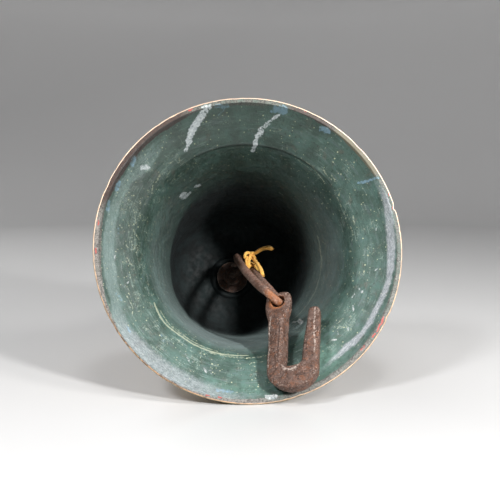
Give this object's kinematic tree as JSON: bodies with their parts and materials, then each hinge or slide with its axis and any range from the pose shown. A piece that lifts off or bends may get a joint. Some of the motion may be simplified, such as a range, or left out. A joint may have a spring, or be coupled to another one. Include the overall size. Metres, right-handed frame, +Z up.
{
  "type": "church bell",
  "caption": "Cast bell lying on its side, with a hook-shaped iron clapper on a long link inside and a hanging eye bolted through the crown.",
  "frame": {"origin": "centre of the footprint of the bell, clapper and hanging eye, on the surface the bell lies on", "axes": "+Z up, -Y the way the mouth opens, +X to the right of someone facing the mouth; the bell's axis drops 15.8 degrees towards the crown"},
  "size_m": [0.28, 0.364, 0.2695],
  "materials": {
    "bell_metal": "aged bell metal: dull gold outside, worn dark green paint and patina inside",
    "rusty_iron": "dark rusty forged iron",
    "packing_leather": "old dry leather",
    "fitting_iron": "dark forged iron with rust in the corners",
    "clapper_iron": "brown rust, pitted, pale on worn edges",
    "tie_cord": "twisted yellow cord"
  },
  "bodies": {
    "bell_body": {"bell": "bell_metal", "crown_bolt": "rusty_iron", "inner_washer": "rusty_iron", "packing_ring": "packing_leather", "outer_washer": "fitting_iron", "lock_nut": "fitting_iron", "hanging_eye": "fitting_iron"},
    "link": {"clapper_link": "clapper_iron", "tie_wrap": "tie_cord", "tie_knot": "tie_cord", "tie_tail_long": "tie_cord", "tie_tail_short": "tie_cord"},
    "hook": {"clapper_hook": "clapper_iron"}
  },
  "joints": [
    {"name": "link_swing", "type": "hinge", "parent": "bell_body", "child": "link", "pos_m": [0.009, 0.04739, 0.09674], "axis": [-0.9583, -0.0778, -0.275], "range_deg": [0, 42]},
    {"name": "hook_swing", "type": "hinge", "parent": "link", "child": "hook", "pos_m": [0.02962, -0.1054, 0.07766], "axis": [-0.419, -0.5923, 0.6882], "range_deg": [0, 60]}
  ]
}
